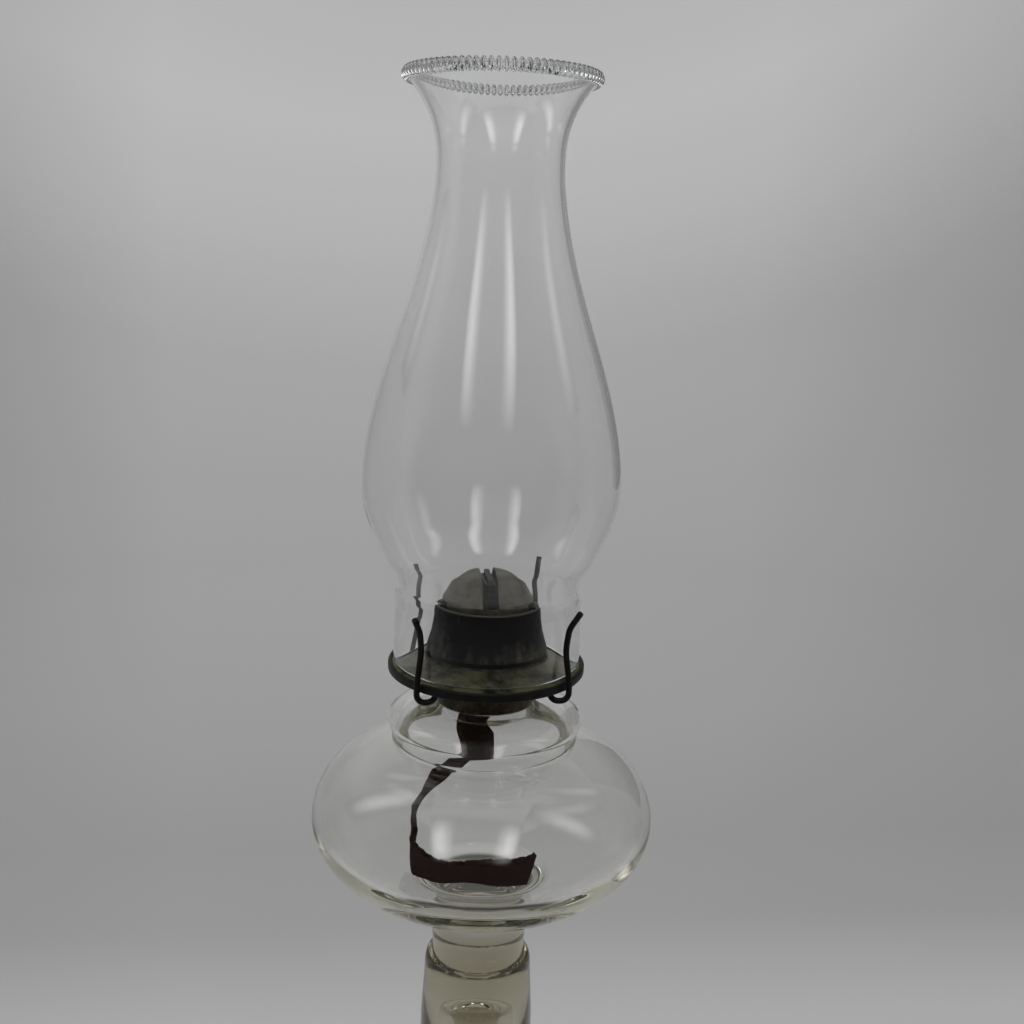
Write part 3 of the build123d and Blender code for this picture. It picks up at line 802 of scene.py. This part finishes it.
class LAMP_OT_wick(bpy.types.Operator):
    """Weaves the flat wick from the flame slot down to its coil in the font"""

    bl_idname = "lamp.wick"
    bl_label = "Wick"

    def execute(self, context):
        settings = context.scene.lamp_wick
        length = sum(WICK_RUNS)
        rows, columns = 190, 14
        deselect()
        bpy.ops.mesh.primitive_grid_add(x_subdivisions=columns, y_subdivisions=rows, size=1.0)
        ribbon = name_piece("wick_ribbon")
        half = settings.width / MM / 2
        for vertex in ribbon.data.vertices:
            side, s = vertex.co.x * 2, (0.5 - vertex.co.y) * length
            spot, ahead, across = wick_station(s)
            face = ahead.cross(across)
            loose = max(0.0, min((s - LOOSE_FROM) / LOOSE_RUN, 1.0))
            fray = FRAY * math.sin(s * 2.3) * math.sin(s * 0.83 + 1.0) * loose
            slump = SLUMP * math.exp(-(((s - SLUMP_AT) / SLUMP_RUN) ** 2))
            edge = half - 0.1 + (fray - slump if side < 0 else -0.2 * loose)
            wave = 0.5 * loose * math.sin(s * 0.31 + side * 0.7)
            vertex.co = (spot + across * side * edge + face * wave) * MM
        solid = ribbon.modifiers.new("Thickness", "SOLIDIFY")
        solid.thickness = settings.thickness
        solid.offset = 0.0
        bpy.ops.object.modifier_apply(modifier=solid.name)
        bpy.ops.object.shade_smooth_by_angle(angle=math.radians(50))
        finish, nodes, links, bsdf = new_finish("woven_cotton")
        weave_at = nodes.new("ShaderNodeTexCoord").outputs["UV"]
        split = nodes.new("ShaderNodeSeparateXYZ")
        links.new(weave_at, split.inputs["Vector"])
        threads = []
        for axis, count in (("X", WARP_THREADS), ("Y", WEFT_THREADS)):
            turn = reckon(nodes, links, "MULTIPLY", split.outputs[axis], count * math.pi)
            threads.append(reckon(nodes, links, "SINE", turn, 0.0))
        weave = reckon(nodes, links, "MULTIPLY", *threads)
        cloud = noise(nodes, links, object_coords(nodes), 260.0, 5.0, 0.6)
        tone = reckon(nodes, links, "MULTIPLY_ADD", weave, 0.16)
        links.new(cloud, tone.node.inputs[2])
        wet = ramp(nodes, ((0.3, tuple(c * 0.5 for c in settings.soaked)), (0.75, settings.soaked)))
        links.new(tone, wet.inputs["Fac"])
        dry = ramp(nodes, ((0.3, (0.045, 0.043, 0.044)), (0.8, (0.165, 0.158, 0.160))))
        links.new(tone, dry.inputs["Fac"])
        height = spread(nodes, links, split.outputs["Y"], 0.90, 0.97, 0.0, 1.0)
        cotton = mixed(nodes, links, height, wet.outputs["Color"], dry.outputs["Color"])
        links.new(cotton, bsdf.inputs["Base Color"])
        links.new(spread(nodes, links, cloud, 0.3, 0.7, 0.7, 0.9), bsdf.inputs["Roughness"])
        bsdf.inputs["Specular IOR Level"].default_value = 0.12
        bump(nodes, links, weave, 0.5, 0.0004, bsdf)
        ribbon.data.materials.append(finish)
        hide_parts("wick")
        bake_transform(ribbon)
        return {"FINISHED"}


def soft_panel(name, turn, rise, away, wide, tall, glow, bands):
    """A panel turned to the lamp. bands gives its light from the middle to the sides; its ends fade."""
    deselect()
    bpy.ops.mesh.primitive_plane_add(size=1.0)
    panel = name_piece(name)
    a, e = math.radians(turn), math.radians(rise)
    way = Vector((math.sin(a) * math.cos(e), -math.cos(a) * math.cos(e), math.sin(e)))
    panel.scale = (wide, tall, 1.0)
    panel.rotation_mode = "QUATERNION"
    panel.rotation_quaternion = (-way).to_track_quat("Z", "Y")
    panel.location = Vector((0, 0, 0.28)) + way * away
    finish, nodes, links, bsdf = new_finish(name)
    split = nodes.new("ShaderNodeSeparateXYZ")
    links.new(nodes.new("ShaderNodeTexCoord").outputs["UV"], split.inputs["Vector"])
    reach = []
    for axis in ("X", "Y"):
        shift = reckon(nodes, links, "SUBTRACT", split.outputs[axis], 0.5)
        off = reckon(nodes, links, "ABSOLUTE", shift, 0.0)
        reach.append(reckon(nodes, links, "MULTIPLY", off, 2.0))
    sides = ramp(nodes, [(place, (level, level, level)) for place, level in bands])
    links.new(reach[0], sides.inputs["Fac"])
    ends = spread(nodes, links, reach[1], 0.25, 0.98, glow, 0.0)
    light = nodes.new("ShaderNodeEmission")
    links.new(sides.outputs["Color"], light.inputs["Color"])
    links.new(ends, light.inputs["Strength"])
    faces = nodes.new("ShaderNodeMixShader")
    links.new(nodes.new("ShaderNodeNewGeometry").outputs["Backfacing"], faces.inputs["Fac"])
    links.new(light.outputs["Emission"], faces.inputs[1])
    links.new(nodes.new("ShaderNodeBsdfTransparent").outputs["BSDF"], faces.inputs[2])
    nodes.remove(bsdf)
    links.new(faces.outputs["Shader"], nodes["Material Output"].inputs["Surface"])
    panel.data.materials.append(finish)
    panel.visible_camera = False
    panel.visible_shadow = False
    return panel


class LAMP_OT_stage(bpy.types.Operator):
    """Sets up the paper sweep, the lights and the camera"""

    bl_idname = "lamp.stage"
    bl_label = "Stage"

    def execute(self, context):
        settings = context.scene.lamp_stage
        scene = context.scene
        radius = settings.sweep_radius / MM
        flat = radius - COVE
        line = joined(
            [(0, -PAPER_SINK), (radius / 3, -PAPER_SINK), (flat, -PAPER_SINK)],
            [
                (flat + COVE * math.sin(w), COVE - PAPER_SINK - COVE * math.cos(w))
                for w in (math.pi / 2 * t for t in parts_of(12))
            ],
            [(radius, WALL_TOP)],
        )
        sweep = turned("paper_sweep", line, 96, 60.0)
        finish, nodes, links, bsdf = new_finish("paper")
        coords = object_coords(nodes)
        split = nodes.new("ShaderNodeSeparateXYZ")
        links.new(coords, split.inputs["Vector"])
        across = reckon(nodes, links, "MULTIPLY", split.outputs["X"], split.outputs["X"])
        deep = reckon(nodes, links, "MULTIPLY", split.outputs["Y"], split.outputs["Y"])
        reach = reckon(nodes, links, "SQRT", reckon(nodes, links, "ADD", across, deep), 0.0)
        behind = reckon(nodes, links, "MAXIMUM", split.outputs["Y"], 0.0)
        along = reckon(nodes, links, "ADD", behind, split.outputs["Z"])
        # Painted light fall-off: the paper's grey changes with distance behind the lamp plus height, lighter
        # near the lamp, darker just behind it, then lighter up the wall.
        place = spread(nodes, links, along, 0.0, 3.0, 0.0, 1.0)
        greys = (
            (0.03, 0.410),
            (0.06, 0.306),
            (0.09, 0.295),
            (0.16, 0.330),
            (0.26, 0.360),
            (0.38, 0.385),
            (0.47, 0.428),
            (0.53, 0.520),
            (0.58, 0.557),
            (0.64, 0.500),
        )
        shades = ramp(nodes, [(p, (g, g, g)) for p, g in greys])
        links.new(place, shades.inputs["Fac"])
        # Painted shade: the paper is darkened towards the left and right of the view, less so near the
        # floor.
        ahead = reckon(nodes, links, "ADD", split.outputs["Y"], EYE_Y)
        aside = reckon(nodes, links, "ADD", split.outputs["X"], EYE_X)
        bearing = reckon(nodes, links, "ARCTAN2", aside, ahead)
        left = spread(nodes, links, bearing, *LEFT_EDGE, EDGE_LOSS, 0.0)
        right = spread(nodes, links, bearing, *RIGHT_EDGE, 0.0, EDGE_LOSS)
        far = spread(nodes, links, along, 0.1, 1.3, 0.2, 1.0)
        loss = reckon(nodes, links, "MULTIPLY", reckon(nodes, links, "ADD", left, right), far)
        dim = nodes.new("ShaderNodeVectorMath")
        dim.operation = "SCALE"
        links.new(shades.outputs["Color"], dim.inputs["Vector"])
        path = nodes.new("ShaderNodeLightPath")
        under = spread(nodes, links, reach, *UNDER_FOOT, 1.0 - settings.foot_shade, 0.0)
        under = reckon(nodes, links, "MULTIPLY", under, path.outputs["Is Transmission Ray"])
        kept = reckon(
            nodes,
            links,
            "MULTIPLY",
            reckon(nodes, links, "SUBTRACT", 1.0, loss),
            reckon(nodes, links, "SUBTRACT", 1.0, under),
        )
        links.new(kept, dim.inputs["Scale"])
        glow = nodes.new("ShaderNodeEmission")
        links.new(dim.outputs["Vector"], glow.inputs["Color"])
        links.new(dim.outputs["Vector"], bsdf.inputs["Base Color"])
        bsdf.inputs["Roughness"].default_value = 0.9
        bsdf.inputs["Specular IOR Level"].default_value = 0.0
        seen = reckon(nodes, links, "ADD", path.outputs["Is Camera Ray"], path.outputs["Is Glossy Ray"])
        seen = reckon(nodes, links, "ADD", seen, path.outputs["Is Transmission Ray"])
        seen.node.use_clamp = True
        share = reckon(nodes, links, "MULTIPLY", seen, PAPER_GLOW)
        both = nodes.new("ShaderNodeMixShader")
        links.new(share, both.inputs["Fac"])
        links.new(bsdf.outputs["BSDF"], both.inputs[1])
        links.new(glow.outputs["Emission"], both.inputs[2])
        shaded = spread(nodes, links, split.outputs["Y"], *FRONT_DARK, settings.front_shade, 0.0)
        unlit = nodes.new("ShaderNodeEmission")
        unlit.inputs["Strength"].default_value = 0.0
        front = nodes.new("ShaderNodeMixShader")
        mirrored = reckon(nodes, links, "GREATER_THAN", path.outputs["Glossy Depth"], 0.5)
        links.new(reckon(nodes, links, "MULTIPLY", mirrored, shaded), front.inputs["Fac"])
        links.new(both.outputs["Shader"], front.inputs[1])
        links.new(unlit.outputs["Emission"], front.inputs[2])
        links.new(front.outputs["Shader"], nodes["Material Output"].inputs["Surface"])
        sweep.data.materials.append(finish)

        world = bpy.data.worlds.new("studio")
        world.use_nodes = True
        scene.world = world
        sky = world.node_tree.nodes["Background"]
        sky.inputs["Color"].default_value = (0.9, 0.9, 0.9, 1.0)
        sky.inputs["Strength"].default_value = 0.55

        hollow = ((0.0, 0.06), (0.42, 0.09), (0.72, 1.0), (0.86, 0.75), (1.0, 0.0))
        cloudy = ((0.0, 1.0), (0.3, 0.8), (0.7, 0.25), (1.0, 0.0))
        soft_panel("front_window", -12.0, 47.0, 0.93, 0.95, 1.04, settings.window_glow, hollow)
        soft_panel("left_window", -112.0, 40.0, 1.1, 0.36, 1.10, settings.side_glow, cloudy)
        soft_panel("right_window", 76.0, 40.0, 1.1, 0.36, 1.10, settings.side_glow, cloudy)
        card = soft_panel("dark_card", 138.0, 8.0, 1.1, 0.55, 1.0, 0.0, cloudy)
        card.visible_diffuse = False
        card.visible_transmission = False
        lamp = bpy.data.lights.new("overhead", "AREA")
        lamp.size, lamp.energy = 0.9, settings.top_power
        light = bpy.data.objects.new("overhead", lamp)
        light.location = (-0.1, 0.2, 1.4)
        light.visible_camera = False
        light.visible_glossy = False
        light.visible_transmission = False
        scene.collection.objects.link(light)

        lens = bpy.data.cameras.new("camera")
        lens.sensor_width = 36.0
        lens.lens = lens.sensor_width * FOCAL / PICTURE
        lens.clip_start = 0.01
        camera = bpy.data.objects.new("camera", lens)
        scene.collection.objects.link(camera)
        pitch, roll, yaw = (math.radians(angle) for angle in (PITCH, ROLL, YAW))
        ahead = Vector((math.sin(yaw) * math.cos(pitch), math.cos(yaw) * math.cos(pitch), -math.sin(pitch)))
        right = Vector((math.cos(yaw), -math.sin(yaw), 0))
        up = right.cross(ahead)
        right, up = (
            right * math.cos(roll) + up * math.sin(roll),
            up * math.cos(roll) - right * math.sin(roll),
        )
        pose = Matrix((right, up, -ahead)).transposed().to_4x4()
        pose.translation = (0, -CAMERA_BACK, CAMERA_HEIGHT)
        camera.matrix_world = Matrix.Rotation(math.radians(RIG_TURN), 4, "Z") @ pose
        scene.camera = camera
        scene.view_settings.view_transform = "Standard"
        scene.cycles.max_bounces = BOUNCES
        scene.cycles.transmission_bounces = BOUNCES
        scene.cycles.glossy_bounces = BOUNCES
        return {"FINISHED"}


class LAMP_PT_sidebar(bpy.types.Panel):
    """Lists the sizes and the building steps of the oil lamp"""

    bl_idname = "LAMP_PT_sidebar"
    bl_label = "Oil lamp"
    bl_space_type = "VIEW_3D"
    bl_region_type = "UI"
    bl_category = "Oil lamp"

    def draw(self, context):
        for group in GROUPS:
            settings = getattr(context.scene, group)
            box = self.layout.box()
            for name in settings.__annotations__:
                box.prop(settings, name)
        for step in STEPS:
            self.layout.operator(step.bl_idname)


GROUPS = {
    "lamp_glass": LampGlassSettings,
    "lamp_burner": LampBurnerSettings,
    "lamp_wick": LampWickSettings,
    "lamp_stage": LampStageSettings,
}
STEPS = (
    LAMP_OT_glass_base,
    LAMP_OT_chimney,
    LAMP_OT_burner,
    LAMP_OT_wick,
    LAMP_OT_stage,
)


def register():
    for cls in (*GROUPS.values(), *STEPS, LAMP_PT_sidebar):
        bpy.utils.register_class(cls)
    for name, cls in GROUPS.items():
        setattr(bpy.types.Scene, name, PointerProperty(type=cls))


def unregister():
    for name in GROUPS:
        delattr(bpy.types.Scene, name)
    for cls in (LAMP_PT_sidebar, *reversed(STEPS), *reversed(GROUPS.values())):
        bpy.utils.unregister_class(cls)


def main():
    register()
    bpy.ops.lamp.glass_base()
    bpy.ops.lamp.chimney()
    bpy.ops.lamp.burner()
    bpy.ops.lamp.wick()
    bpy.ops.lamp.stage()


if __name__ == "__main__":
    main()
